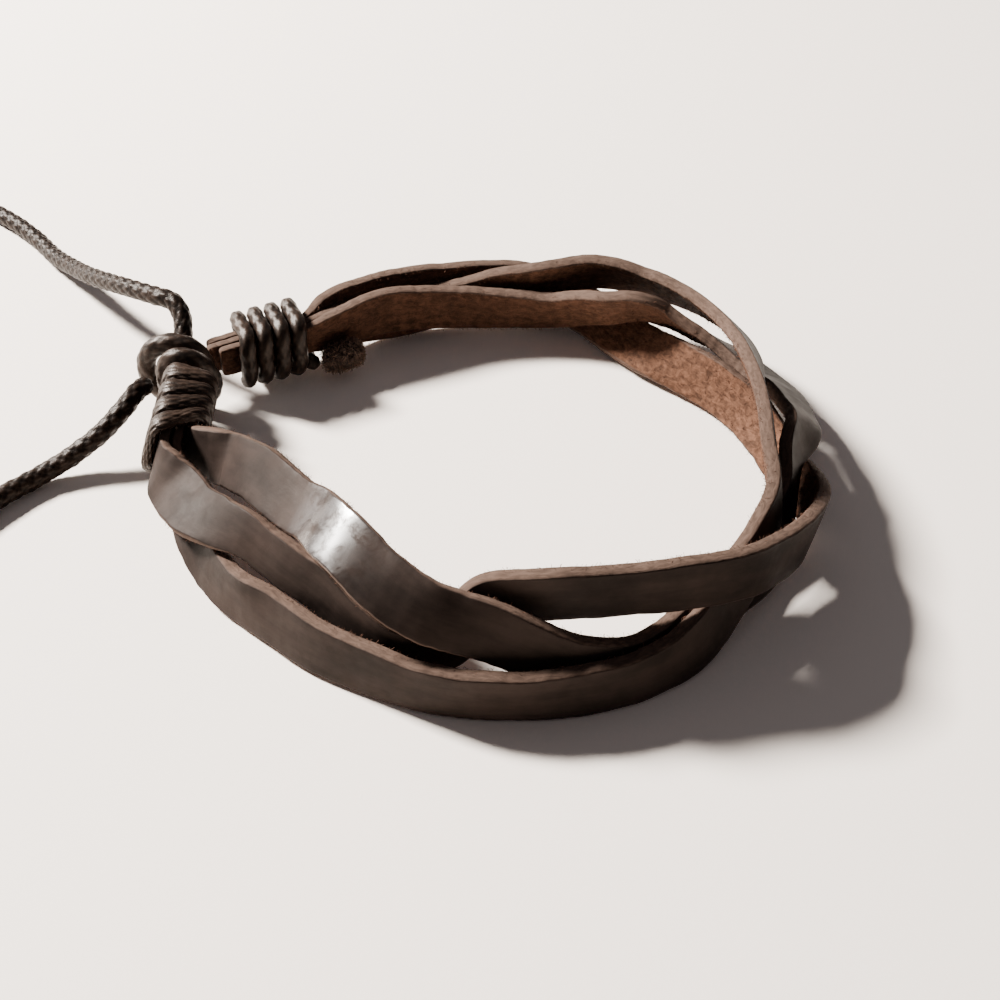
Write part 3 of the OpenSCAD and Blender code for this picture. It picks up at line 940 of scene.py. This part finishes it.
class BRACELET_OT_straps(bpy.types.Operator):
    """Make the leather straps"""

    bl_idname = "bracelet.straps"
    bl_label = "Straps"

    def execute(self, context):
        sizes = settings()
        w, t = sizes.strap_width / MM, sizes.strap_thickness / MM
        # each strap's shade and suede factor are painted light and shade: the same leather made lighter or
        # darker for each strap
        for name, node, slot, rows, seed, shade, painted_suede_light, rubbed in (
            ("outer_leather", "outer_strap", "leather_outer", OUTER_ROWS, 1, 1.0, 1.1, NOT_RUBBED),
            ("inner_leather", "inner_strap", "leather_inner", INNER_ROWS, 2, 1.0, 0.85, RUBBED_AT),
            ("lower_leather", "lower_strap", "leather_lower", LOWER_ROWS, 3, 1.1, 0.95, NOT_RUBBED),
        ):
            obj = make_strap(name, rows, w, t, seed * 10, rubbed)
            wear(obj, leather_finish(name, sizes, shade, painted_suede_light))
            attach(obj, "root")
            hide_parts(node)
        return {"FINISHED"}


class BRACELET_OT_wraps(bpy.types.Operator):
    """Make the turns of cord that bind the straps"""

    bl_idname = "bracelet.wraps"
    bl_label = "Wraps"

    def execute(self, context):
        sizes = settings()
        r = sizes.turn_diameter / 2 / MM
        path, bundle, _ = coil(r + 0.1, **BACK_WRAP)
        frames = coil_frames(path, bundle)
        obj = make_cord("back_wrap_cord", path, r, WRAP_BRAID, 0.1, 31, frames, WRAP_SIDES)
        wear(obj, cord_finish("waxed_back_wrap", sizes, 0.85))
        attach(obj, "root")
        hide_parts("back_wrap")

        path, bundle, fan = coil(0.7, **FRONT_WRAP)
        frames = coil_frames(path, bundle)
        radii = (FLAT_CORD[0], FLAT_CORD[1] * fan)
        obj = make_cord("front_wrap_cord", path, radii, FLAT_BRAID, 0.15, 32, frames, FLAT_WRAP_SIDES)
        wear(obj, cord_finish("waxed_front_wrap", sizes, 1.0))
        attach(obj, "root")
        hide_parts("front_wrap")
        return {"FINISHED"}


class BRACELET_OT_knot(bpy.types.Operator):
    """Make the closing knot"""

    bl_idname = "bracelet.knot"
    bl_label = "Knot"

    def execute(self, context):
        sizes = settings()
        line = route_line(KNOT_ROUTE, CORD_GAP)
        obj = make_cord("knot_cord", line, sizes.cord_diameter / 2 / MM, BRAID, 0.1, 41)
        wear(obj, cord_finish("waxed_knot", sizes, 0.95))
        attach(obj, "root")
        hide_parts("closure_knot")
        return {"FINISHED"}


class BRACELET_OT_frayed_end(bpy.types.Operator):
    """Make the frayed cord end that sticks out of the back wrap"""

    bl_idname = "bracelet.frayed_end"
    bl_label = "Frayed end"

    def execute(self, context):
        sizes = settings()
        line = route_line(END_ROUTE, END_GAP)
        places = np.linspace(0, len(END_RADII) - 1, len(line))
        radii = np.interp(places, range(len(END_RADII)), END_RADII)
        stub = make_cord("cord_stub", line, radii, STUB_BRAID, 0.24, 51)
        wear(stub, cord_finish("waxed_stub", sizes, 1.15))
        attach(stub, "root")
        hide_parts("cord_end")
        # the strands grow closest together on the last rings, at the stub's free end
        nap = np.full((len(stub.data.vertices) // CORD_SIDES, CORD_SIDES), 0.35)
        nap[-10:] = 0.8
        nap[-3:] = 1.0
        material = fibre_finish("frayed_fibres", (0.15, 0.1, 0.075))
        strands = grow_fibres("frayed_strands", stub, nap, material, seed=5, **FRAYED)
        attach(strands, "root")
        return {"FINISHED"}


class BRACELET_OT_fuzz(bpy.types.Operator):
    """Grow the loose fibres of the suede and the cut edges"""

    bl_idname = "bracelet.fuzz"
    bl_label = "Fuzz"

    def execute(self, context):
        sizes = settings()
        if sizes.fuzz <= 0:
            return {"FINISHED"}
        material = fibre_finish("suede_fibres", (0.09, 0.045, 0.03))
        fibres = {**FUZZ, "density": FUZZ["density"] * sizes.fuzz}
        for name, slot, seed in (
            ("outer_leather", "leather_outer", 61),
            ("inner_leather", "leather_inner", 62),
            ("lower_leather", "leather_lower", 63),
        ):
            host = bpy.data.objects[name]
            edge, suede = numbers(host, "edge"), numbers(host, "suede")
            nap = np.clip(suede * (0.25 + 2.2 * edge), 0, 1)
            fuzz = grow_fibres(name + "_fuzz", host, nap, material, seed=seed, **fibres)
            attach(fuzz, "root")
        return {"FINISHED"}


class BRACELET_PT_panel(bpy.types.Panel):
    """The bracelet's settings and steps"""

    bl_idname = "BRACELET_PT_panel"
    bl_label = "Leather bracelet"
    bl_space_type = "VIEW_3D"
    bl_region_type = "UI"
    bl_category = "Bracelet"

    def draw(self, context):
        sizes = context.scene.bracelet
        for name in BraceletSettings.__annotations__:
            self.layout.prop(sizes, name)
        for operator in OPERATORS:
            self.layout.operator(operator.bl_idname)


OPERATORS = (
    BRACELET_OT_stage,
    BRACELET_OT_tails,
    BRACELET_OT_straps,
    BRACELET_OT_wraps,
    BRACELET_OT_knot,
    BRACELET_OT_frayed_end,
    BRACELET_OT_fuzz,
)
CLASSES = (BraceletSettings, *OPERATORS, BRACELET_PT_panel)


def register():
    """Adds the classes and the scene's settings."""
    for c in CLASSES:
        bpy.utils.register_class(c)
    bpy.types.Scene.bracelet = bpy.props.PointerProperty(type=BraceletSettings)


def unregister():
    """Takes them away again."""
    del bpy.types.Scene.bracelet
    for c in reversed(CLASSES):
        bpy.utils.unregister_class(c)


def main():
    """Makes the bracelet and its stage."""
    register()
    bpy.ops.bracelet.stage()
    bpy.ops.bracelet.tails()
    bpy.ops.bracelet.straps()
    bpy.ops.bracelet.wraps()
    bpy.ops.bracelet.knot()
    bpy.ops.bracelet.frayed_end()
    bpy.ops.bracelet.fuzz()


if __name__ == "__main__":
    main()
